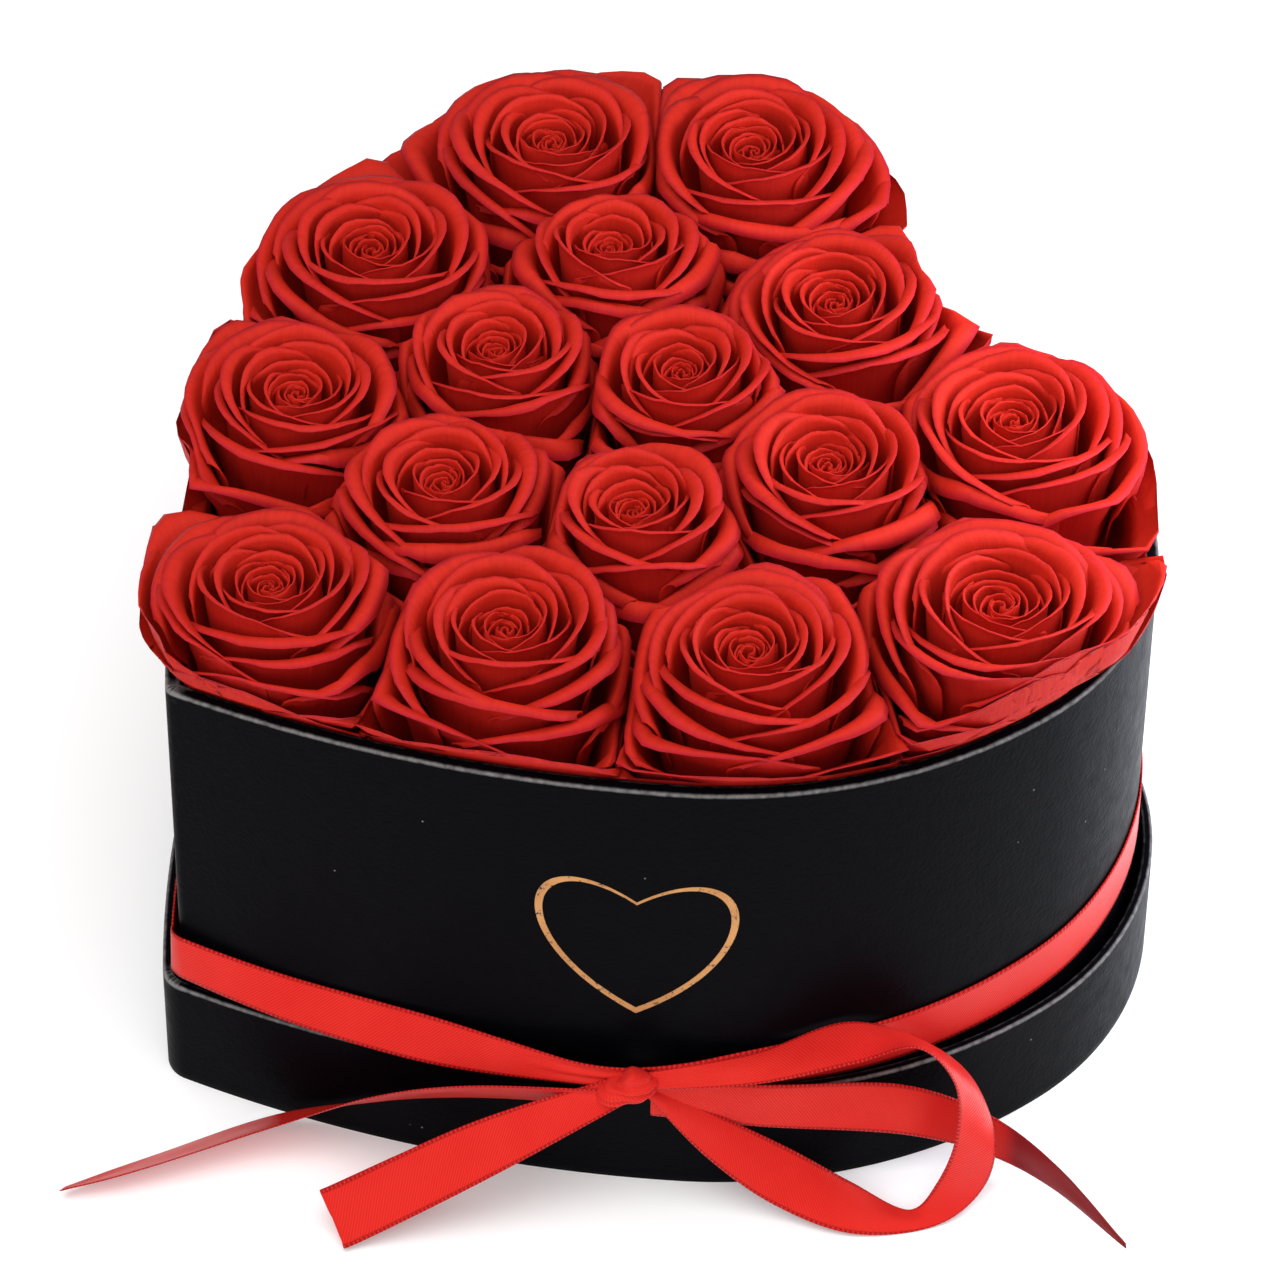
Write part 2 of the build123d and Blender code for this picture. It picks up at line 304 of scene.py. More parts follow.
@dataclass(frozen=True)
class SatinRibbon:
    """Single-face polyester satin ribbon with a stitched picot edge."""

    face: str = "#CB1E1B"
    # glow: the lighter colour of the painted sheen and of the twill lines
    glow: str = "#F2443C"
    # edge: the colour of the painted shade beside and between the stitches
    edge: str = "#860C14"
    # the ribbon's dull reverse side, darkened with painted shade where the right tail faces away
    shaded_reverse: str = "#6E0E17"
    highlight: str = "#FF7458"
    sheen: str = "#FF5A40"
    width: float = 15.0  # mm
    picot: float = 1.1  # from stitch to stitch, mm
    edge_width: float = 0.9  # mm
    groove: float = 0.35  # width of the dark line of painted shade in the groove beside the stitches, mm
    weave: float = 0.8  # drawn at twice the real 0.4 mm so that it shows
    patch: float = 14.0  # width of a lighter patch of painted sheen, mm
    roughness: float = 0.32
    specular: float = 0.38

    def material(self) -> bpy.types.Material:
        """Make the material.

        Returns:
            Satin whose UV runs in mm: along the ribbon in U, and across it in V.
        """
        # Polyester satin: long warp floats give a broad soft glow along the ribbon, painted into the colour
        # here as lighter patches (painted sheen) over the lighter twill lines of the weave, crossed by fine
        # slanted binding points, and the two edges are bound with a row of small stitches.
        material, tree, shader, place = start_material("polyester satin ribbon, red")
        chart = add_node(tree, "UVMap", uv_map="UVMap").outputs["UV"]
        run = add_node(tree, "SeparateXYZ", {"Vector": chart})
        patch = {"Vector": place, "Scale": lumps(self.patch), "Detail": 2.0}
        patches = add_node(tree, "TexNoise", patch).outputs["Fac"]
        # Where the ribbon's dull reverse shows, darkened with painted shade.
        shaded_reverse = add_node(tree, "Attribute", attribute_name="shaded_reverse").outputs["Fac"]
        values = {"along": run.outputs["X"], "across": run.outputs["Y"], "patches": patches}
        for name, operation, *terms in (
            ("slant", "MULTIPLY_ADD", "across", 0.7, "along"),
            ("twill angle", "MULTIPLY", "slant", 2 * math.pi / self.weave),
            ("twill", "SINE", "twill angle"),
            ("off middle", "SUBTRACT", "across", self.width / 2),
            ("from middle", "ABSOLUTE", "off middle"),
            ("to edge", "SUBTRACT", self.width / 2, "from middle"),
            ("stitch angle", "MULTIPLY", "along", 2 * math.pi / self.picot),
            ("stitches", "SINE", "stitch angle"),
            ("in edge", "LESS_THAN", "to edge", self.edge_width),
            ("off seam", "SUBTRACT", "to edge", self.edge_width),
            ("from seam", "ABSOLUTE", "off seam"),
            # Painted shade at the edges: a dark line in the groove beside the stitches, and darker hollows
            # between them.
            ("beside seam", "MULTIPLY_ADD", "from seam", -1 / self.groove, 1.0),
            ("groove", "MAXIMUM", "beside seam", 0.0),
            ("groove shade", "MULTIPLY", "groove", 0.6),
            ("stitch wave", "MULTIPLY_ADD", "stitches", 0.5, 0.5),
            ("stitch hollow", "MULTIPLY", "in edge", "stitch wave"),
            ("stitch shade", "MULTIPLY", "stitch hollow", 0.9),
            ("edge shade", "MAXIMUM", "stitch shade", "groove shade"),
            # Painted sheen: lighter patches that paint the satin's glow; the twill term below is the weave.
            ("painted sheen", "MULTIPLY", "patches", 0.3),
            ("glow", "MULTIPLY_ADD", "twill", 0.16, "painted sheen"),
            ("thread", "MULTIPLY_ADD", "stitches", 1.2, 1.0),
            ("raised edge", "MULTIPLY", "in edge", "thread"),
            ("height", "MULTIPLY_ADD", "twill", 0.35, "raised edge"),
        ):
            inputs = {i: values[term] if isinstance(term, str) else term for i, term in enumerate(terms)}
            values[name] = add_node(tree, "Math", inputs, operation=operation).outputs[0]
        tone = srgb(self.face)
        for share, colour in (
            (values["glow"], self.glow),
            (values["edge shade"], self.edge),
            (shaded_reverse, self.shaded_reverse),
        ):
            layers = {"Factor": share, 6: tone, 7: srgb(colour)}
            tone = add_node(tree, "Mix", layers, data_type="RGBA").outputs[2]
        bump = add_node(tree, "Bump", {"Strength": 0.5, "Distance": 0.14 * MM, "Height": values["height"]})
        sockets = {
            "Base Color": tone,
            "Normal": bump.outputs["Normal"],
            "Roughness": self.roughness,
            "Specular IOR Level": self.specular,
            "Specular Tint": srgb(self.highlight),
            "Sheen Weight": 0.03,
            "Sheen Roughness": 0.3,
            "Sheen Tint": srgb(self.sheen),
        }
        set_inputs(tree, shader, sockets)
        return material


@dataclass(frozen=True)
class PreservedPetal:
    """Preserved rose petal: velvety, dyed red, with painted shade darkening it towards its base, and crimson
    at its rim.
    """

    face: str = "#C32416"
    # base: deep red for the painted shade towards each petal's base, and for its veins
    base: str = "#7C0D0F"
    rim: str = "#A5152F"
    outside: str = "#BA1E1C"
    sheen: str = "#FF4A2A"
    vein: float = 0.022  # share of the petal's half width
    stretch: float = 0.12  # how much slower the veins change along the petal
    mottle: float = 7.0  # width of a shallow dent, mm
    velvet: float = 0.7  # width of a tuft of the velvet, mm
    roughness: float = 0.62
    specular: float = 0.12

    def material(self) -> bpy.types.Material:
        """Make the material.

        Returns:
            Petal whose UV runs across it in U and from base to rim in V.
        """
        # Rose petal: the upper cells are cones that trap light, so it glows softly like velvet,
        # with no sharp highlight, faint veins, and a thinner, bluer rim.
        material, tree, shader, place = start_material("preserved rose petal, red")
        chart = add_node(tree, "UVMap", uv_map="UVMap").outputs["UV"]
        run = add_node(tree, "SeparateXYZ", {"Vector": chart})
        along = run.outputs["Y"]
        outer = add_node(tree, "Attribute", attribute_name="outside").outputs["Fac"]
        age = add_node(tree, "Attribute", attribute_name="age").outputs["Fac"]
        slow = add_node(tree, "Math", {0: along, 1: self.stretch}, operation="MULTIPLY").outputs[0]
        fan = add_node(tree, "CombineXYZ", {"X": run.outputs["X"], "Y": slow, "Z": age}).outputs[0]
        vein = {"Vector": fan, "Scale": 1 / (2 * self.vein), "Detail": 3.0, "Roughness": 0.6}
        veins = add_node(tree, "TexNoise", vein).outputs["Fac"]
        # Painted shade: the petal darkens towards its base, deep inside the head.
        low = {"Value": along, "From Min": 0.02, "From Max": 0.38, "To Min": 1.0, "To Max": 0.0}
        high = {"Value": along, "From Min": 0.93, "From Max": 0.985, "To Max": 0.85}
        dark = {"Value": veins, "From Min": 0.35, "From Max": 0.75, "To Max": 0.22}
        shade_at_base, at_rim, in_vein = (
            add_node(tree, "MapRange", sockets).outputs["Result"] for sockets in (low, high, dark)
        )
        tone = srgb(self.face)
        for share, colour in (
            (add_node(tree, "Math", {0: outer, 1: age}, operation="MULTIPLY").outputs[0], self.outside),
            (shade_at_base, self.base),
            (add_node(tree, "Math", {0: at_rim, 1: age}, operation="MULTIPLY").outputs[0], self.rim),
            (in_vein, self.base),
        ):
            layers = {"Factor": share, 6: tone, 7: srgb(colour)}
            tone = add_node(tree, "Mix", layers, data_type="RGBA").outputs[2]
        dent = {"Vector": place, "Scale": lumps(self.mottle), "Detail": 3.0}
        height = add_node(tree, "TexNoise", dent).outputs["Fac"]
        tuft = {"Vector": place, "Scale": lumps(self.velvet), "Detail": 2.0, "Roughness": 0.7}
        for layer, strength in ((add_node(tree, "TexNoise", tuft).outputs["Fac"], 0.5), (veins, 1.4)):
            terms = {0: layer, 1: strength, 2: height}
            height = add_node(tree, "Math", terms, operation="MULTIPLY_ADD").outputs[0]
        bump = add_node(tree, "Bump", {"Strength": 0.3, "Distance": 0.35 * MM, "Height": height})
        sockets = {
            "Base Color": tone,
            "Normal": bump.outputs["Normal"],
            "Roughness": self.roughness,
            "Specular IOR Level": self.specular,
            "Sheen Weight": 0.06,
            "Sheen Roughness": 0.45,
            "Sheen Tint": srgb(self.sheen),
        }
        set_inputs(tree, shader, sockets)
        return material


@dataclass(frozen=True)
class GreenStem:
    """Cut rose stem and calyx."""

    dark: str = "#2C4420"
    light: str = "#5C7A3A"
    streak: float = 0.9  # width of a streak, mm
    stretch: float = 0.1  # how much slower the streaks change along the stem
    roughness: float = 0.5

    def material(self) -> bpy.types.Material:
        """Make the material.

        Returns:
            Green with lengthwise streaks.
        """
        # Plant stem: waxy skin over lengthwise fibres, so streaks run up and the gloss is low.
        material, tree, shader, place = start_material("rose stem, green")
        upwards = add_node(tree, "Mapping", {"Vector": place, "Scale": (1, 1, self.stretch)}).outputs[0]
        streak = {"Vector": upwards, "Scale": lumps(self.streak), "Detail": 3.0}
        streaks = add_node(tree, "TexNoise", streak).outputs["Fac"]
        colours = {"Factor": streaks, 6: srgb(self.dark), 7: srgb(self.light)}
        tone = add_node(tree, "Mix", colours, data_type="RGBA").outputs[2]
        bump = add_node(tree, "Bump", {"Strength": 0.3, "Distance": 0.1 * MM, "Height": streaks})
        sockets = {"Base Color": tone, "Normal": bump.outputs["Normal"], "Roughness": self.roughness}
        set_inputs(tree, shader, sockets)
        return material


@dataclass(frozen=True)
class StudioTable:
    """Opal acrylic light table, faintly lit from below."""

    colour: str = "#F4F4F4"
    light: str = "#F8F8F8"
    cloud: float = 6.0  # clouds of unevenness in each metre
    glow: float = 0.13
    roughness: float = 0.8
    specular: float = 0.1

    def material(self) -> bpy.types.Material:
        """Make the material.

        Returns:
            Near-white, with a trace of unevenness.
        """
        # Opal acrylic lit faintly from below: even white, so only soft contact shadows show on it.
        material, tree, shader, place = start_material("opal acrylic light table")
        clouds = add_node(tree, "TexNoise", {"Vector": place, "Scale": self.cloud, "Detail": 1.0})
        colours = {"Factor": clouds.outputs["Fac"], 6: srgb(self.colour), 7: srgb(self.light)}
        sockets = {
            "Base Color": add_node(tree, "Mix", colours, data_type="RGBA").outputs[2],
            "Roughness": self.roughness,
            "Specular IOR Level": self.specular,
            "Emission Color": srgb("#FFFFFF"),
            "Emission Strength": self.glow,
        }
        set_inputs(tree, shader, sockets)
        return material


# ---------------------------------------------------------------- modelling helpers


def deselect_all() -> None:
    """Leave nothing selected, so that an operator acts only on the piece in hand."""
    for thing in bpy.context.selected_objects:
        thing.select_set(False)
    bpy.context.view_layer.objects.active = None


def take(piece: bpy.types.Object) -> None:
    """Select one piece alone and make it active."""
    deselect_all()
    piece.select_set(True)
    bpy.context.view_layer.objects.active = piece


def apply_modifiers(piece: bpy.types.Object) -> None:
    """Apply every modifier of a piece, in order."""
    take(piece)
    for modifier in list(piece.modifiers):
        bpy.ops.object.modifier_apply(modifier=modifier.name)


def set_weights(piece: bpy.types.Object, name: str, weights: np.ndarray) -> None:
    """Store one number per vertex.

    Args:
        piece: The mesh object.
        name: The attribute's name.
        weights: A value for each vertex.
    """
    layer = piece.data.attributes.new(name, "FLOAT", "POINT")
    layer.data.foreach_set("value", np.asarray(weights, dtype=np.float32).ravel())


def merge_seams(piece: bpy.types.Object, gap: float) -> None:
    """Merge the vertices of a piece that meet and turn its faces outwards.

    Args:
        piece: The mesh object.
        gap: How far apart vertices may be to be merged, in metres.
    """
    take(piece)
    bpy.ops.object.mode_set(mode="EDIT")
    bpy.ops.mesh.select_all(action="SELECT")
    bpy.ops.mesh.remove_doubles(threshold=gap)
    bpy.ops.mesh.normals_make_consistent(inside=False)
    bpy.ops.object.mode_set(mode="OBJECT")


def thicken(piece: bpy.types.Object, name: str, thickness: float) -> None:
    """Give a sheet its thickness on both sides, as a modifier that isn't applied yet.

    Args:
        piece: The sheet.
        name: What the thickness is of.
        thickness: In the piece's own units.
    """
    body = piece.modifiers.new(name, "SOLIDIFY")
    body.thickness, body.offset = thickness, 0


def shaped_sheet(
    name: str,
    columns: int,
    rows: int,
    place: Callable[[np.ndarray, np.ndarray], np.ndarray],
    seam: bool = False,
    uv_size: tuple[float, float] | None = None,
) -> bpy.types.Object:
    """Add a flat grid and move its vertices to the shape of a piece.

    Args:
        name: The piece's name.
        columns: Faces along U.
        rows: Faces along V.
        place: Gives a point in mm for each pair of shares along U and V.
        seam: Whether edges that meet are merged.
        uv_size: Length and width in mm that the UV map is scaled to.

    Returns:
        The piece, at the origin.
    """
    deselect_all()
    bpy.ops.mesh.primitive_grid_add(x_subdivisions=columns, y_subdivisions=rows, size=1)
    piece = bpy.context.active_object
    piece.name = piece.data.name = name
    count = len(piece.data.vertices)
    flat = np.empty(count * 3)
    piece.data.vertices.foreach_get("co", flat)
    flat = flat.reshape(-1, 3)
    shaped = place(flat[:, 0] + 0.5, flat[:, 1] + 0.5) * MM
    piece.data.vertices.foreach_set("co", shaped.ravel())
    layer = piece.data.uv_layers[0]
    layer.name = "UVMap"
    if uv_size:
        spots = np.empty(len(layer.data) * 2)
        layer.data.foreach_get("uv", spots)
        layer.data.foreach_set("uv", (spots.reshape(-1, 2) * uv_size).ravel())
    piece.data.update()
    take(piece)
    bpy.ops.object.shade_smooth()
    if seam:
        merge_seams(piece, 0.01 * MM)
    return piece


def fit(piece: bpy.types.Object, body: Body, slot: Slot, material: bpy.types.Material, *nodes: str) -> None:
    """Finish a piece: give it its material and its body, and hide the CAD nodes it stands for.

    Args:
        piece: The finished piece.
        body: The body it moves with.
        slot: Its material slot in the record; not used.
        material: Its finish.
        nodes: The CAD nodes it replaces.
    """
    piece.data.materials.clear()
    piece.data.materials.append(material)
    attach(piece, body.value)
    if nodes:
        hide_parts(*nodes)
    LOG.info("%s: %d faces, on %s", piece.name, len(piece.data.polygons), body.value)


def dress(nodes: list[str], material: bpy.types.Material) -> None:
    """Give a finish to CAD nodes that stay as they are.

    Args:
        nodes: Their names.
        material: The finish.
    """
    for name in nodes:
        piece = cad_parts[name]
        if not piece.material_slots:
            take(piece)
            bpy.ops.object.material_slot_add()
        for slot in piece.material_slots:
            slot.link = "OBJECT"
            slot.material = material
        LOG.info("%s keeps its shape, in %s", name, material.name)


def smooth_line(points: list[tuple[float, ...]], shares: np.ndarray) -> np.ndarray:
    """Follow a smooth line through a few points.

    Args:
        points: The points the line goes through.
        shares: Where along the line, from 0 to 1.

    Returns:
        One point per share.
    """
    stops = np.array(points, dtype=float)
    gaps = np.sqrt(np.linalg.norm(np.diff(stops, axis=0), axis=1))
    knots = np.concatenate([[0], np.cumsum(gaps)])
    knots /= knots[-1]
    slopes = np.gradient(stops, knots, axis=0)
    at = np.clip(np.searchsorted(knots, shares, side="right") - 1, 0, len(knots) - 2)
    width = (knots[at + 1] - knots[at])[:, None]
    t = ((shares - knots[at]) / width[:, 0])[:, None]
    return (
        (2 * t**3 - 3 * t**2 + 1) * stops[at]
        + (t**3 - 2 * t**2 + t) * width * slopes[at]
        + (-2 * t**3 + 3 * t**2) * stops[at + 1]
        + (t**3 - t**2) * width * slopes[at + 1]
    )


def run_length(points: np.ndarray) -> np.ndarray:
    """How far along a line each of its points is."""
    return np.concatenate([[0], np.cumsum(np.linalg.norm(np.diff(points, axis=0), axis=1))])


def cos_sin(degrees: float) -> tuple[float, float]:
    """The cosine and the sine of an angle in degrees."""
    return math.cos(math.radians(degrees)), math.sin(math.radians(degrees))


def ease(values: np.ndarray, start: float, end: float) -> np.ndarray:
    """Rise smoothly from 0 at start to 1 at end."""
    t = np.clip((values - start) / (end - start), 0, 1)
    return t * t * (3 - 2 * t)


# ---------------------------------------------------------------- the heart


@dataclass(frozen=True)
class HeartOutline:
    """The box's outline in plan: two mirrored rows of arcs from the point to the cleft, in mm."""

    axis_angle: float = 34.5
    tip: tuple[float, float] = (-114.1, -84.8)
    tip_half_angle: float = 59.4
    side_radius: float = 333.0
    side_sweep: float = 21.2
    shoulder_radius: float = 121.7
    shoulder_sweep: float = 42.4
    lobe_radius: float = 70.3
    tip_rounding: float = 3.0
    cleft_rounding: float = 7.0
    sharpest: float = 0.6

    def stations(self, offset: float) -> tuple[np.ndarray, np.ndarray]:
        """Walk once round the outline, moved outwards by offset.

        Args:
            offset: Distance outwards from the box's outside, in mm.

        Returns:
            The points in plan and the outward directions, the same count for every offset.
        """
        first = self.tip_half_angle
        second = first - self.side_sweep
        third = second - self.shoulder_sweep

        def outwards(heading: np.ndarray) -> np.ndarray:
            """The direction to the left of a heading in degrees."""
            angle = np.radians(heading)
            return np.stack([-np.sin(angle), np.cos(angle)], -1)

        side = self.side_radius * -outwards(np.array(first))
        shoulder = side + (self.side_radius - self.shoulder_radius) * outwards(np.array(second))
        lobe = shoulder + (self.shoulder_radius - self.lobe_radius) * outwards(np.array(third))
        side_r, lobe_r = self.side_radius + offset, self.lobe_radius + offset
        tip_r = max(self.tip_rounding + offset, self.sharpest)
        cleft_r = max(self.cleft_rounding - offset, self.sharpest)
        tip = np.array([side[0] - math.sqrt((side_r - tip_r) ** 2 - side[1] ** 2), 0])
        cleft = np.array([lobe[0] + math.sqrt((lobe_r + cleft_r) ** 2 - lobe[1] ** 2), 0])
        out_of_tip = tip - side
        start = math.degrees(math.atan2(-out_of_tip[0], out_of_tip[1]))
        into_cleft = cleft - lobe
        end = math.degrees(math.atan2(-into_cleft[0], into_cleft[1]))
        runs = [
            (tip, tip_r, 90.0, start, 10, 1),
            (side, side_r, start, second, 90, 1),
            (shoulder, self.shoulder_radius + offset, second, third, 60, 1),
            (lobe, lobe_r, third, end, 120, 1),
            (cleft, cleft_r, end, -90.0, 14, -1),
        ]
        points, normals = [], []
        for centre, radius, begin, stop, steps, turn in runs:
            normal = outwards(np.linspace(begin, stop, steps, endpoint=False))
            points.append(centre + turn * radius * normal)
            normals.append(normal)
        last = outwards(np.array([-90.0]))
        points.append(cleft - cleft_r * last)
        normals.append(last)
        half, half_normals = np.concatenate(points), np.concatenate(normals)
        flip = np.array([1, -1])
        whole = np.concatenate([half, half[-2:0:-1] * flip])
        whole_normals = np.concatenate([half_normals, half_normals[-2:0:-1] * flip])
        c, s = cos_sin(self.axis_angle)
        turned = np.array([[c, s], [-s, c]])
        return whole @ turned + np.array(self.tip), whole_normals @ turned

    def reach(self, x: float, y: float, offset: float, angles: np.ndarray) -> np.ndarray:
        """How far the outline is from a point inside it, in each direction.

        Args:
            x: The point's place.
            y: The point's place.
            offset: The outline's offset.
            angles: Directions, in radians.

        Returns:
            One distance per direction, in mm.
        """
        points = self.stations(offset)[0] - np.array([x, y])
        ahead = np.roll(points, -1, axis=0)
        found = np.full(len(angles), FAR)
        for i, angle in enumerate(angles):
            c, s = math.cos(angle), math.sin(angle)
            side_a = points[:, 1] * c - points[:, 0] * s
            side_b = ahead[:, 1] * c - ahead[:, 0] * s
            crossing = (side_a > 0) != (side_b > 0)
            share = side_a[crossing] / (side_a[crossing] - side_b[crossing])
            spots = points[crossing] + share[:, None] * (ahead[crossing] - points[crossing])
            away = spots @ np.array([c, s])
            away = away[away > 0]
            if len(away):
                found[i] = away.min()
        return found


@dataclass
class PaperWrap:
    """Leather-grain paper folded round one upright wall and its rim."""

    name: str
    node: str
    body: Body
    outside: float
    inside: float
    bottom: float
    top: float
    turn_in: float
    paper: float = 0.3
    crease: float = 0.7
    pleat_height: float = 0.35
    pleat_reach: float = 7.0
    pleat_pitch: float = 2.6
    outline: HeartOutline = field(default_factory=HeartOutline)

    def profile(self) -> np.ndarray:
        """The cross-section of the folded paper.

        Returns:
            Rows of offset, height, wear with painted highlight, and the share of the pleats' height.
        """
        r, s = self.crease, self.crease - self.paper
        outer, inner, bend = self.outside - r, self.inside + r, self.top - r
        faint = 0.03
        rows: list[tuple[float, float, float, float]] = []
        # The outer wall pales just below the crease: wear and painted highlight.
        for z in np.linspace(self.bottom + 0.35, bend, 14, endpoint=False):
            rubbed_and_lit = float(ease(np.array(z), self.top - 3.2, self.top - 0.6))
            rows.append((self.outside, z, faint * rubbed_and_lit, 0))
        rows.append((self.outside, bend - 0.35, faint, 0))
        # The outer crease is palest at its middle: wear and a painted highlight where it catches the light.
        for a in np.linspace(0, 90, 6):
            c, v = cos_sin(a)
            rows.append((outer + r * c, bend + r * v, min(1.0, 1.3 - 0.9 * abs(a - 45) / 45), v))
        for share in (0.25, 0.5, 0.75):
            rows.append((outer + share * (inner + r - self.outside), self.top, 0.06, 1))
        for a in np.linspace(90, 0, 5):
            c, v = cos_sin(a)
            rows.append((inner - r * c, bend + r * v, 0.3 * v, v))
        rows.append((self.inside, bend - 4, 0.05, 0))
        rows.append((self.inside, self.top - self.turn_in, 0, 0))
        rows.append((self.inside + self.paper, self.top - self.turn_in, 0, 0))
        for a in np.linspace(0, 90, 4):
            c, v = cos_sin(a)
            rows.append((inner - s * c, bend + s * v, 0, v))
        for a in np.linspace(90, 0, 4):
            c, v = cos_sin(a)
            rows.append((outer + s * c, bend + s * v, 0, v))
        rows.append((self.outside - self.paper, self.bottom, 0, 0))
        rows.append((self.outside - 0.12, self.bottom, 0.3, 0))
        rows.append(rows[0])
        return np.array(rows)

    def build(self, material: bpy.types.Material) -> bpy.types.Object:
        """Model the wrap and put it in the CAD node's place.

        Args:
            material: Its finish.

        Returns:
            The finished piece.
        """
        section = self.profile()
        plans = [self.outline.stations(offset)[0] for offset in section[:, 0]]
        rings = np.stack([np.insert(plan, 2, z, axis=1) for plan, z in zip(plans, section[:, 1])])
        rings = np.concatenate([rings, rings[:, :1]], axis=1)
        walked = run_length(rings[0, :, :2])
        from_tip = np.minimum(walked, walked[-1] - walked)
        window = 1 - ease(from_tip, 1.0, self.pleat_reach)
        folds = np.cos(walked * 2 * math.pi / self.pleat_pitch) ** 2 * window
        rings[:, :, 2] += self.pleat_height * folds * section[:, 3:4]
        # Pale pleat ridges at the tip: wear and painted highlight.
        wear_and_highlight = section[:, 2:3] + 0.5 * window * (section[:, 3:4] > 0.2) * (0.4 + folds)
        # Painted highlight on the rounded upright edge at the tip, added to the wear weights.
        tip_edge_highlight = 1 - ease(from_tip, 2.0, 7.0)
        wear_and_highlight = wear_and_highlight + 0.16 * tip_edge_highlight * (section[:, 0:1] > self.outside - 0.05)
        columns, rows = len(plans[0]), len(section) - 1

        def place(u: np.ndarray, v: np.ndarray) -> np.ndarray:
            """The wrap's surface."""
            return rings[np.rint(v * rows).astype(int), np.rint(u * columns).astype(int)]

        piece = shaped_sheet(self.name, columns, rows, place)
        flat_u, flat_v = np.meshgrid(np.arange(columns + 1), np.arange(rows + 1))
        set_weights(piece, "wear_and_highlight", np.clip(wear_and_highlight[flat_v, flat_u], 0, 1.4))
        merge_seams(piece, 0.005 * MM)
        take(piece)
        bpy.ops.object.shade_smooth_by_angle(angle=math.radians(50))
        fit(piece, self.body, Slot.BLACK_PAPER, material, self.node)
        return piece


# ---------------------------------------------------------------- ribbon


@dataclass
class RibbonStrip:
    """One length of satin ribbon between a near and a far edge, in mm."""

    name: str
    nodes: tuple[str, ...]
    near: list[tuple[float, float, float]]
    far: list[tuple[float, float, float]]
    held: str
    rests_on: tuple[str, ...]
    crown: float = 0.5  # how far the middle stands out of the line between the edges
    ripple: float = 0.12
    thickness: float = 0.4
    width: float = 15.0
    columns: int = 170
    rows: int = 10
    shaded_reverse_from: float = 1000.0  # the place in X from which the dull reverse is uppermost, darkened there with painted shade

    def build(self, material: bpy.types.Material) -> bpy.types.Object:
        """Args:
            material: Its finish.

        Returns:
            The finished piece.
        """
        fine = np.linspace(0, 1, 400)
        middle = (smooth_line(self.near, fine) + smooth_line(self.far, fine)) / 2
        walked = run_length(middle)
        length = walked[-1]

        def place(u: np.ndarray, v: np.ndarray) -> np.ndarray:
            """The ribbon's surface, crowned a little across."""
            share = np.interp(u * length, walked, fine)
            near, far = smooth_line(self.near, share), smooth_line(self.far, share)
            after, before = np.clip(share + 0.001, 0, 1), np.clip(share - 0.001, 0, 1)
            ahead = smooth_line(self.near, after) + smooth_line(self.far, after)
            behind = smooth_line(self.near, before) + smooth_line(self.far, before)
            out = np.cross(ahead - behind, far - near)
            out /= np.maximum(np.linalg.norm(out, axis=1, keepdims=True), 1e-9)
            ripple = self.ripple * np.sin(u * length / 5.5) * np.sin(v * 7)
            swell = self.crown * (1 - (2 * v - 1) ** 2) + ripple
            return near + (far - near) * v[:, None] + out * swell[:, None]

        piece = shaped_sheet(self.name, self.columns, self.rows, place, uv_size=(length, self.width))
        thicken(piece, "cloth thickness", self.thickness * MM)
        smoother = piece.modifiers.new("soft edges", "SUBSURF")
        smoother.levels = smoother.render_levels = 1
        apply_modifiers(piece)
        spots = np.empty(len(piece.data.vertices) * 3)
        piece.data.vertices.foreach_get("co", spots)
        # Painted shade on the turned tail's outer part, where its dull reverse is up.
        set_weights(piece, "shaded_reverse", ease(spots[::3] / MM, self.shaded_reverse_from, self.shaded_reverse_from + 7))
        fit(piece, Body.BOX, Slot.RED_SATIN, material, *self.nodes)
        return piece


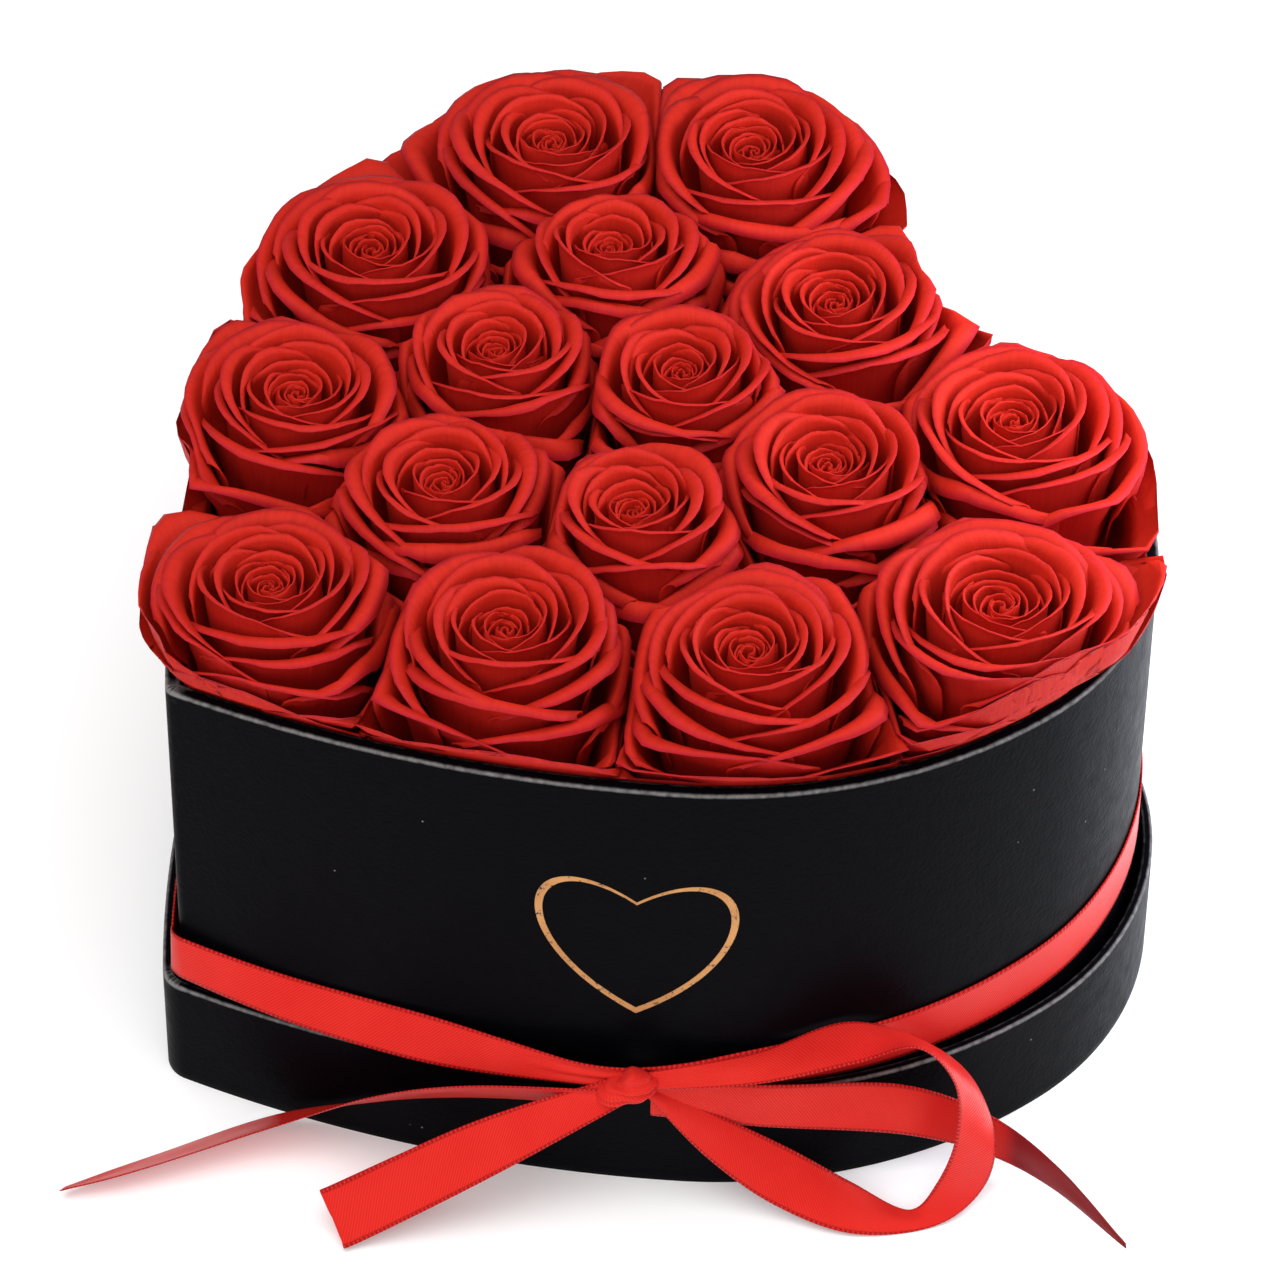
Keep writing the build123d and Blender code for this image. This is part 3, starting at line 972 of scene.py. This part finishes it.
@dataclass
class RibbonBand:
    """The ribbon round the box, which swings out over the lid's rim to the knot."""

    outline: HeartOutline = field(default_factory=HeartOutline)
    width: float = 15.0
    thickness: float = 0.4
    clear: float = 0.45  # from the wall to the middle of the ribbon
    top: float = 60.6
    rise: tuple[float, float] = (0.023, 0.136)
    knot: tuple[float, float] = (-6.0, -121.0)
    lean: tuple[tuple[float, float, float, float, float], ...] = (
        (-114, 2.0, 49, 2.5, 36),
        (-97, 0.5, 46, 5.0, 36),
        (-65, 0.0, 45, 5.5, 33.5),
        (-42, 1.5, 44, 6.0, 33),
        (-26, 4.0, 41.5, 6.5, 36),
        (-6, 7.0, 41, 7.0, 35.5),
        (10, 2.5, 43.5, 2.0, 32),
        (30, 0.0, 46, 0.0, 31),
    )  # along the front: place, then the upper edge's way out and height and the lower edge's

    def build(self, material: bpy.types.Material) -> bpy.types.Object:
        """Args:
            material: Its finish.

        Returns:
            The finished piece.
        """
        points, normals = self.outline.stations(self.clear)
        count = len(points)
        begin = int(np.argmin(np.hypot(points[:, 0] - self.knot[0], points[:, 1] - self.knot[1])))
        order = np.concatenate([np.arange(begin, count), np.arange(0, begin + 1)])
        points, normals = points[order], normals[order]
        length = run_length(points)[-1]
        upper = self.top + self.rise[0] * points[:, 0] + self.rise[1] * points[:, 1]
        along_front = (points[:, 1] < -80) & (points[:, 0] < 40)
        table = np.array(self.lean)
        shifts = np.stack([np.interp(points[:, 0], table[:, 0], column) for column in table[:, 1:].T])
        shifts[1] -= upper
        shifts[3] -= upper - self.width
        shifts *= along_front
        even = np.ones(25) / 25  # the averaging that rounds the table's corners
        closed = np.concatenate([shifts[:, -13:-1], shifts, shifts[:, 1:13]], axis=1)
        shifts = np.stack([np.convolve(row, even, mode="valid") for row in closed])
        tight = np.clip(1 - np.abs(points[:, 0] - self.knot[0]) / 26, 0, 1) * along_front
        columns, rows = len(points) - 1, 12

        def place(u: np.ndarray, v: np.ndarray) -> np.ndarray:
            """The band's surface; V rises from its lower to its upper edge."""
            at = np.rint(u * columns).astype(int)
            up_out, up_rise, low_out, low_rise = shifts[:, at]
            out = low_out * (1 - v) + up_out * v + 0.6 * tight[at] * np.sin(v * 15)
            low = upper[at] - self.width + low_rise
            height = low * (1 - v) + (upper[at] + up_rise) * v
            return np.column_stack([points[at] + normals[at] * out[:, None], height])

        piece = shaped_sheet("satin_band", columns, rows, place, seam=True, uv_size=(length, self.width))
        thicken(piece, "cloth thickness", self.thickness * MM)
        apply_modifiers(piece)
        fit(piece, Body.BOX, Slot.RED_SATIN, material, "ribbon_band")
        return piece


@dataclass
class BowKnot:
    """The knot: ribbon drawn tight round the bow's neck, with pleats along its slant."""

    centre: tuple[float, float, float] = (-7.5, -122.6, 37.2)
    half_size: tuple[float, float, float] = (7.4, 4.2, 4.0)
    slant: float = 24.0  # its right end is the higher one, degrees
    pleats: int = 4

    def build(self, material: bpy.types.Material) -> bpy.types.Object:
        """Model the knot.

        Args:
            material: Its finish.

        Returns:
            The finished piece.
        """
        deselect_all()
        bpy.ops.mesh.primitive_uv_sphere_add(segments=72, ring_count=48, radius=1)
        piece = bpy.context.active_object
        piece.name = piece.data.name = "satin_knot"
        c, s = cos_sin(self.slant)
        for vertex in piece.data.vertices:
            x, y, z = vertex.co
            across = 0.45 * x + 0.9 * z
            ridge = 0.10 * math.cos(across * math.pi * self.pleats + 1.5 * x) * (1 - 0.4 * x * x)
            waist = 1 - 0.20 * math.exp(-(((x + 0.1) / 0.3) ** 2))
            swell = (1 + ridge) * waist
            lump = 0.42 * math.exp(-((x - 0.45) ** 2 + (z - 0.9) ** 2) / 0.10)
            tuck = 0.16 * math.exp(-((x + 0.75) ** 2 + (z + 0.3) ** 2) / 0.10)
            along = self.half_size[0] * x * swell
            tall = self.half_size[2] * z * (swell + lump - tuck)
            vertex.co = (
                (self.centre[0] + c * along - s * tall) * MM,
                (self.centre[1] + self.half_size[1] * y * (swell + 0.3 * lump)) * MM,
                (self.centre[2] + s * along + c * tall) * MM,
            )
        layer = piece.data.uv_layers[0]
        spots = np.empty(len(layer.data) * 2)
        layer.data.foreach_get("uv", spots)
        layer.data.foreach_set("uv", (spots.reshape(-1, 2) * np.array([45, 11]) + np.array([0, 2])).ravel())
        layer.name = "UVMap"
        take(piece)
        bpy.ops.object.shade_smooth()
        fit(piece, Body.BOX, Slot.RED_SATIN, material, "bow_knot")
        return piece


# ---------------------------------------------------------------- roses


@dataclass(frozen=True)
class PetalRing:
    """One ring of petals of a head; radius as a share of the head's, heights in mm."""

    count: int
    radius: float
    top: float
    base: float
    spread: float  # half angle that a petal covers, degrees
    lean: float  # of its upper part from level, degrees
    curl: float  # how far its rim rolls outwards, degrees
    curl_radius: float
    drop: float  # of its corners below its middle, mm


RINGS = (
    PetalRing(2, 0.05, 147.0, 132, 150, 96, 20, 0.7, 0.4),
    PetalRing(3, 0.115, 147.6, 130, 120, 95, 30, 0.8, 0.8),
    PetalRing(3, 0.19, 148.6, 128, 105, 94, 45, 1.0, 1.2),
    PetalRing(3, 0.28, 150.2, 126, 95, 92, 55, 1.3, 1.8),
    PetalRing(4, 0.41, 151.6, 122, 80, 89, 70, 1.7, 2.6),
    PetalRing(4, 0.54, 151.8, 118, 76, 85, 80, 2.2, 3.4),
    PetalRing(4, 0.68, 150.0, 114, 72, 78, 90, 2.8, 4.2),
    PetalRing(5, 0.80, 147.4, 110, 62, 70, 95, 3.0, 4.4),
    PetalRing(5, 0.92, 142.6, 106, 60, 64, 95, 3.2, 4.6),
    PetalRing(4, 1.02, 137.0, 102, 64, 60, 70, 3.0, 3.0),
    PetalRing(5, 1.06, 131.6, 98, 64, 56, 25, 2.5, 1.0),
)


class PetalBlank:
    """One flat petal, modelled once: every petal of every head is a copy of it, bent to shape."""

    def __init__(self, across: int = 14, along: int = 16) -> None:
        """Model the flat blank.

        Args:
            across: Faces across the petal.
            along: Faces from its base to its rim.
        """
        deselect_all()
        bpy.ops.mesh.primitive_grid_add(x_subdivisions=across, y_subdivisions=along, size=1)
        blank = bpy.context.active_object
        thicken(blank, "petal thickness", 1.0)
        apply_modifiers(blank)
        mesh = blank.data
        spots = np.empty(len(mesh.vertices) * 3)
        mesh.vertices.foreach_get("co", spots)
        spots = spots.reshape(-1, 3)
        self.across = spots[:, 0] * 2
        self.along = spots[:, 1] + 0.5
        self.side = np.sign(spots[:, 2])
        corners = np.empty(len(mesh.loops), dtype=np.int32)
        mesh.loops.foreach_get("vertex_index", corners)
        self.faces = corners.reshape(-1, 4)
        bpy.data.objects.remove(blank)


@dataclass
class RoseHead:
    """One open rose head, squeezed between its neighbours and the rim."""

    number: int
    x: float
    y: float
    radius: float
    neighbours: list[tuple[float, float, float]]
    outline: HeartOutline
    blank: PetalBlank
    overhang: float = 6.0
    in_wall: float = -4.3  # offset of the outline that petals below the rim keep within
    near: float = 80.0  # distance within which heads press on one another
    overlap: float = 0.8  # how far a head's petals reach past the line between it and the next
    calyx: float = 128.0  # height that the head tilts about
    unsqueezed: float = 0.72  # share of the room within which petals are free
    lowest: float = 93.0

    def limits(self) -> tuple[np.ndarray, np.ndarray, np.ndarray]:
        """How far petals may reach in each of 360 directions, below the rim and above it.

        Returns:
            Two distances in mm from the head's axis, and 1 where the rim is what stops them.
        """
        angles = np.radians(np.arange(360))
        below = self.outline.reach(self.x, self.y, self.in_wall, angles)
        forwards = 1 - ease(np.sin(angles), -0.6, 0.0)
        above = self.outline.reach(self.x, self.y, self.overhang, angles) * (1 - forwards)
        above += self.outline.reach(self.x, self.y, min(self.overhang, -0.6), angles) * forwards
        to_rim = below.copy()
        for other_x, other_y, other_radius in self.neighbours:
            apart = math.hypot(other_x - self.x, other_y - self.y)
            if not 0 < apart < self.near:
                continue
            share = (apart**2 + self.radius**2 - other_radius**2) / (2 * apart) + self.overlap
            facing = np.cos(angles - math.atan2(other_y - self.y, other_x - self.x))
            parted = np.where(facing > 0.15, share / np.maximum(facing, 0.15), FAR)
            below, above = np.minimum(below, parted), np.minimum(above, parted)
        free = (to_rim <= below + 0.5).astype(float)
        around = np.concatenate([free[-20:], free, free[:20]])
        return below, above, np.clip(1.6 * np.convolve(around, np.ones(41) / 41, mode="valid"), 0, 1)

    def petal(self, ring: PetalRing, turn: float, rng: np.random.Generator, open_out: float) -> np.ndarray:
        """Bend one blank into a petal standing round the head's axis.

        Args:
            ring: The ring it belongs to.
            turn: Its direction, in radians.
            rng: The head's own source of variation.
            open_out: Scale of this head's radius.

        Returns:
            The petal's vertices in mm, about the head's axis.
        """
        blank = self.blank
        wide, tall = 40, 48  # steps of the fine petal that the blank is bent to
        s, t = np.meshgrid(np.linspace(-1, 1, wide + 1), np.linspace(0, 1, tall + 1))
        radius = ring.radius * self.radius * open_out * rng.uniform(0.93, 1.06)
        top = ring.top + rng.uniform(-1.3, 1.0) * (0.35 + ring.radius)
        curl = math.radians(ring.curl) * rng.uniform(0.75, 1.25) * (1.05 - 0.5 * np.abs(s) ** 2)
        curl_r = ring.curl_radius * rng.uniform(0.85, 1.2)
        lean = math.radians(ring.lean + rng.uniform(-4, 4))
        crown = top - 1.25 * ring.drop * np.abs(s) ** 2.2 - 0.5 * ring.curl_radius
        height = crown - ring.base
        split = 0.8
        k = np.clip(t / split, 0, 1)
        foot = 0.28 * radius
        upper_r = radius - 0.42 * height * math.cos(lean)
        starting, ending = 3 * (1 - k) ** 2 * k, 3 * (1 - k) * k**2
        r = (1 - k) ** 3 * foot + starting * 0.95 * radius + ending * upper_r + k**3 * radius
        z = ring.base + (starting * 0.12 + ending * 0.62 + k**3) * height
        roll = np.clip((t - split) / (1 - split), 0, 1) * curl
        begin = math.atan2(0.38, 0.42 * math.cos(lean)) if ring.lean < 90 else lean
        r = r + curl_r * (np.sin(begin) - np.sin(begin - roll))
        z = z + curl_r * (np.cos(begin - roll) - np.cos(begin))
        phase, phase2 = rng.uniform(0, 6.28, 2)
        wave = 0.016 * radius + 0.15
        nick = 0.22 * np.sin(9 * s + 3 * phase) + 0.16 * np.sin(17 * s + 5 * phase2)
        z = z + nick * ease(t, 0.8, 1.0)
        r = r + wave * np.sin(2.6 * s + phase) * t**2 * 1.3
        z = z + wave * np.sin(3.4 * s + phase2) * t**3
        spiral = 0.045 * self.radius + 0.25
        r = r + spiral * s * ease(t, 0.1, 0.7)
        half = math.radians(ring.spread) * (0.6 + 0.4 * ease(t, 0, 0.6))
        half = half * (1 - 0.16 * ease(t, 0.72, 1.0))
        angle = s * half
        r = r / np.maximum(np.cos(np.clip(angle * 0.42, -1.2, 1.2)), 0.4) ** 0.9
        surface = np.stack([r * np.cos(angle + turn), r * np.sin(angle + turn), z], -1)
        out = np.cross(np.gradient(surface, axis=1), np.gradient(surface, axis=0))
        out /= np.maximum(np.linalg.norm(out, axis=-1, keepdims=True), 1e-9)
        thick = 0.22 - 0.08 * ease(t, 0.85, 1.0)
        at_s, at_t = (blank.across + 1) / 2 * wide, blank.along * tall
        low_s, low_t = np.minimum(at_s.astype(int), wide - 1), np.minimum(at_t.astype(int), tall - 1)
        f_s, f_t = (at_s - low_s)[:, None], (at_t - low_t)[:, None]

        def read(values: np.ndarray) -> np.ndarray:
            """Read the fine petal's values at the blank's vertices."""
            near = values[low_t, low_s] * (1 - f_s) + values[low_t, low_s + 1] * f_s
            far = values[low_t + 1, low_s] * (1 - f_s) + values[low_t + 1, low_s + 1] * f_s
            return near * (1 - f_t) + far * f_t

        return read(surface) + read(out) * read(thick[..., None]) * blank.side[:, None]

    def build(self, material: bpy.types.Material) -> bpy.types.Object:
        """Model the whole head.

        Args:
            material: Its finish.

        Returns:
            The finished piece.
        """
        rng = np.random.default_rng(700 + self.number)
        below, above, rim_share = self.limits()
        blank = self.blank
        spots, turn = [], rng.uniform(0, 6.28)
        way = 1 if self.number % 3 else -1  # every third head winds the other way
        total = sum(ring.count for ring in RINGS)
        open_out = rng.uniform(0.97, 1.04)
        for ring in RINGS:
            for _ in range(ring.count):
                turn += way * (2 * math.pi / ring.count + rng.uniform(-0.12, 0.12))
                spots.append(self.petal(ring, turn, rng, open_out))
            turn += way * 0.9
        cloud = np.concatenate(spots)
        age = np.repeat(np.linspace(0, 1, total), len(blank.across))
        slope = math.radians(rng.uniform(0, 5))
        hinge = Vector((rng.uniform(-1, 1), rng.uniform(-1, 1), 0)).normalized()
        tilt = Matrix.Rotation(slope, 3, hinge)
        pivot = np.array([0, 0, self.calyx])
        cloud = (cloud - pivot) @ np.array(tilt).T + pivot
        away = np.hypot(cloud[:, 0], cloud[:, 1])
        heading = np.degrees(np.arctan2(cloud[:, 1], cloud[:, 0])) % 360
        ring_angles = np.arange(361)
        low = np.interp(heading, ring_angles, np.append(below, below[0]))
        high = np.interp(heading, ring_angles, np.append(above, above[0]))
        rise = ease(cloud[:, 2], 130.0, 135.0)
        at_rim = np.interp(heading, ring_angles, np.append(rim_share, rim_share[0]))
        limit = low * (1 - rise) + high * rise
        stretch = np.clip(limit / self.radius, 1, 1.5) ** ease(age, 0.62, 0.9)
        away = away * stretch
        share = away / limit
        free, rest = self.unsqueezed, 1 - self.unsqueezed
        squeezed = np.where(share > free, limit * (free + rest * np.tanh((share - free) / rest)), away)
        spread = squeezed * (1 + 0.07 * at_rim * ease(age, 0.6, 0.85))
        squeezed = np.minimum(spread, np.maximum(limit, squeezed))
        cloud[:, 0] = self.x + squeezed * np.cos(np.radians(heading))
        cloud[:, 1] = self.y + squeezed * np.sin(np.radians(heading))
        pressed = np.clip(share - 0.8, 0, 0.34) * ease(age, 0.4, 0.75) * (1 - 0.95 * at_rim)
        cloud[:, 2] = np.maximum(cloud[:, 2] - 30 * pressed, self.lowest)
        each = len(blank.across)
        faces = np.concatenate([blank.faces + i * each for i in range(total)])
        mesh = bpy.data.meshes.new(f"rose_head_{self.number:02d}")
        mesh.vertices.add(len(cloud))
        mesh.vertices.foreach_set("co", (cloud * MM).ravel())
        mesh.loops.add(faces.size)
        mesh.loops.foreach_set("vertex_index", faces.ravel())
        mesh.polygons.add(len(faces))
        mesh.polygons.foreach_set("loop_start", np.arange(0, faces.size, 4))
        mesh.polygons.foreach_set("use_smooth", np.ones(len(faces), dtype=bool))
        mesh.update(calc_edges=True)
        layer = mesh.uv_layers.new(name="UVMap")
        uv = np.column_stack([np.tile(blank.across, total), np.tile(blank.along, total)])
        layer.data.foreach_set("uv", uv[faces.ravel()].ravel())
        piece = bpy.data.objects.new(mesh.name, mesh)
        bpy.context.scene.collection.objects.link(piece)
        set_weights(piece, "age", age)
        set_weights(piece, "outside", np.tile((blank.side > 0).astype(float), total))
        fit(piece, Body.BOX, Slot.ROSE_PETALS, material, f"rose_{self.number:02d}")
        return piece


# ---------------------------------------------------------------- sub-assemblies


@dataclass
class Lid:
    """The upturned lid that the box stands in."""

    outside: float = 4.6
    inside: float = 2.0
    bottom: float = 0.0
    top: float = 33.0
    turn_in: float = 18.0

    def build(self, paper: bpy.types.Material, liner: bpy.types.Material, board: bpy.types.Material) -> None:
        """Model the wrap and dress the boards.

        Args:
            paper: The black wrap's finish.
            liner: The finish of the liner.
            board: The finish of the boards.
        """
        sizes = (self.outside, self.inside, self.bottom, self.top, self.turn_in)
        PaperWrap("lid_paper_wrap", "lid_wrap", Body.LID, *sizes).build(paper)
        dress(["lid_face_paper"], paper)
        dress(["lid_liner"], liner)
        dress(["lid_face_board", "lid_wall_board"], board)


@dataclass
class Box:
    """The box with its foam and its foil mark."""

    outside: float = 0.0
    inside: float = -3.6
    bottom: float = 2.6
    top: float = 130.0
    turn_in: float = 20.0

    def build(
        self,
        paper: bpy.types.Material,
        liner: bpy.types.Material,
        board: bpy.types.Material,
        foam: bpy.types.Material,
        foil: bpy.types.Material,
    ) -> None:
        """Model the wrap and dress what it holds.

        Args:
            paper: The black wrap's finish.
            liner: The finish of the liner.
            board: The finish of the boards.
            foam: The finish of the foam.
            foil: The finish of the mark.
        """
        sizes = (self.outside, self.inside, self.bottom, self.top, self.turn_in)
        PaperWrap("box_paper_wrap", "box_wrap", Body.BOX, *sizes).build(paper)
        dress(["box_base_paper"], paper)
        dress(["box_liner"], liner)
        dress(["box_base_board", "box_wall_board"], board)
        dress(["foam_block"], foam)
        dress(["foil_mark"], foil)


class Bow:
    """The bow at the front: band, knot, two loops and two tails."""

    def strips(self) -> list[RibbonStrip]:
        """The bow's loops and tails.

        Returns:
            Each length of ribbon with its two edges.
        """
        return [
            RibbonStrip(
                "satin_loop_right",
                ("bow_loop_right",),
                near=[
                    (-4, -123, 37),
                    (23, -124, 41),
                    (46, -125, 50),
                    (60, -120, 50),
                    (69, -121, 39),
                    (70, -125, 25),
                    (66, -128, 11),
                    (60, -129, 2),
                    (46, -124, 6),
                    (32, -122, 15),
                    (16, -121, 25),
                    (-1, -121, 36),
                ],
                far=[
                    (-4, -121, 41),
                    (22, -117, 44),
                    (44, -112, 50),
                    (62, -109, 40),
                    (74, -111, 29),
                    (80, -118, 15),
                    (78, -124, 6),
                    (68, -132, 1),
                    (47, -136, 1),
                    (28, -131, 5),
                    (12, -127, 17),
                    (-3, -123, 35),
                ],
                held="folded",
                rests_on=("lid_paper_wrap",),
            ),
            RibbonStrip(
                "satin_loop_left",
                ("bow_loop_left",),
                near=[
                    (-7, -124, 34),
                    (-40, -134, 17),
                    (-71, -142, 2),
                    (-74, -143, 1.3),
                    (-72, -141, 1),
                    (-40, -132, 15),
                    (-9, -123, 32),
                ],
                far=[
                    (-9, -120, 39),
                    (-44, -125, 27),
                    (-78, -133, 12),
                    (-80, -133, 11),
                    (-78, -131, 10),
                    (-43, -123, 25),
                    (-10, -120, 38),
                ],
                held="folded",
                rests_on=("lid_paper_wrap",),
            ),
            RibbonStrip(
                "satin_tail_right",
                ("ribbon_tail_right",),
                near=[
                    (-2, -123, 28),
                    (23, -120, 21),
                    (60, -118, 16),
                    (80, -115, 5),
                    (94, -122, 2),
                    (111, -139, 0.6),
                ],
                far=[
                    (-2, -121, 39),
                    (23, -119, 35),
                    (58, -115, 31),
                    (80, -112, 16),
                    (95, -121, 9),
                    (111, -138, 1.2),
                ],
                held="hung",
                rests_on=("lid_paper_wrap",),
                crown=0.2,
                shaded_reverse_from=79,
            ),
            RibbonStrip(
                "satin_tail_left",
                ("ribbon_tail_left",),
                near=[
                    (-9, -123, 37),
                    (-48, -120, 34),
                    (-68, -117, 26),
                    (-90, -115, 13),
                    (-129, -126, 6),
                    (-142, -128, 3.4),
                ],
                far=[
                    (-9, -121, 29),
                    (-48, -113, 22),
                    (-68, -108, 14),
                    (-90, -103, 3.4),
                    (-127, -118, 1),
                    (-141, -126, 2.2),
                ],
                held="hung",
                rests_on=("lid_paper_wrap",),
                crown=0.2,
            ),
        ]

    def build(self, satin: bpy.types.Material) -> None:
        """Model every part of the bow.

        Args:
            satin: The ribbon's finish.
        """
        RibbonBand().build(satin)
        for strip in self.strips():
            strip.build(satin)
        BowKnot().build(satin)


@dataclass
class Bouquet:
    """Sixteen rose heads with their stems."""

    heads: tuple[tuple[float, float, float], ...] = (
        (-29, 86, 29),
        (21, 85, 29),
        (-71, 47, 28),
        (-14, 47, 24),
        (41, 31, 29),
        (-88, -4, 28),
        (-40, 11, 25),
        (4, 6, 24),
        (82, -10, 29),
        (-51, -33, 27),
        (-6, -42, 24),
        (38, -25, 27),
        (-90, -68, 28),
        (-36, -80, 29),
        (20, -86, 29),
        (76, -71, 31),
    )

    def build(self, petal: bpy.types.Material, stem: bpy.types.Material) -> None:
        """Model the heads and dress the stems.

        Args:
            petal: The petals' finish.
            stem: The stems' finish.
        """
        outline, blank = HeartOutline(), PetalBlank()
        for number, (x, y, radius) in enumerate(self.heads, start=1):
            others = [h for h in self.heads if h != (x, y, radius)]
            overhang = 6.0 if x < -60 or y > 40 else 2.5 if x > 60 else -1.0
            RoseHead(number, x, y, radius, others, outline, blank, overhang).build(petal)
        dress([f"stem_{n:02d}" for n in range(1, len(self.heads) + 1)], stem)


@dataclass
class Studio:
    """Table, lights and camera."""

    camera_place: tuple[float, float, float] = (-2.9, -1151.7, 1244.2)
    azimuth: float = 0.144
    elevation: float = 45.73
    roll: float = 0.689
    focal: float = 189.8

    def table(self) -> None:
        """Add the table top."""
        deselect_all()
        bpy.ops.mesh.primitive_plane_add(size=12, location=(0, 0, 0))
        top = bpy.context.active_object
        top.name = "table_top"
        top.data.materials.append(StudioTable().material())

    def light(
        self,
        name: str,
        place: tuple[float, float, float],
        aim: tuple[float, float, float],
        size: tuple[float, float],
        watts: float,
        colour: str = "#FFFFFF",
    ) -> None:
        """Add one soft rectangular light.

        Args:
            name: Its name.
            place: Its middle, in metres.
            aim: The point it faces.
            size: Its width and height.
            watts: Its power.
            colour: Its colour.
        """
        lamp = bpy.data.lights.new(name, "AREA")
        lamp.shape, lamp.size, lamp.size_y = "RECTANGLE", size[0], size[1]
        lamp.energy, lamp.color = watts, srgb(colour)[:3]
        holder = bpy.data.objects.new(name, lamp)
        bpy.context.scene.collection.objects.link(holder)
        holder.location = place
        holder.rotation_euler = (Vector(aim) - Vector(place)).to_track_quat("-Z", "Y").to_euler()

    def build(self) -> None:
        """Set the whole stage."""
        self.table()
        self.light("overhead softbox", (-0.2, -0.35, 1.5), (0, 0, 0.05), (1.5, 1.3), 18.3)
        self.light("front softbox", (-0.5, -1.5, 0.9), (0, 0, 0.08), (1.2, 0.9), 9)
        self.light("right floor strip", (0.3, 0.0, 0.15), (0.19, 0.0, 0.0), (0.16, 0.42), 1.3, "#EAF0FF")
        world = bpy.data.worlds.new("studio")
        world.use_nodes = True
        world.node_tree.nodes["Background"].inputs["Color"].default_value = srgb("#FFFFFF")
        world.node_tree.nodes["Background"].inputs["Strength"].default_value = 0.4
        bpy.context.scene.world = world
        self.camera()
        bpy.context.scene.view_settings.view_transform = "Standard"

    def camera(self) -> None:
        """Place the camera and make it the scene's own."""
        a, e, r = (math.radians(v) for v in (self.azimuth, self.elevation, self.roll))
        ahead = Vector((-math.cos(e) * math.sin(a), math.cos(e) * math.cos(a), -math.sin(e)))
        right = Vector((math.cos(a), math.sin(a), 0))
        up = right.cross(ahead)
        tilted_right = right * math.cos(r) + up * math.sin(r)
        tilted_up = up * math.cos(r) - right * math.sin(r)
        lens = bpy.data.cameras.new("camera")
        lens.lens, lens.sensor_width = self.focal, 36
        lens.clip_start, lens.clip_end = 0.1, 20
        holder = bpy.data.objects.new("camera", lens)
        bpy.context.scene.collection.objects.link(holder)
        pose = Matrix((tilted_right, tilted_up, -ahead)).transposed().to_4x4()
        pose.translation = Vector(self.camera_place) * MM
        holder.matrix_world = pose
        bpy.context.scene.camera = holder


def main() -> None:
    """Build every sub-assembly in order."""
    logging.basicConfig(level=logging.INFO, format="%(name)s: %(message)s")
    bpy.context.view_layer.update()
    paper = LeatherGrainPaper().material()
    liner = FibrousSheet("uncoated lining paper, black", "#101013", "#1C1C20", 0.6).material()
    board = FibrousSheet("pressed grey board", "#6F6A63", "#8B867E", 0.5).material()
    Studio().build()
    Lid().build(paper, liner, board)
    Box().build(paper, liner, board, FlowerFoam().material(), HotFoil().material())
    Bow().build(SatinRibbon().material())
    Bouquet().build(PreservedPetal().material(), GreenStem().material())


if __name__ == "__main__":
    main()
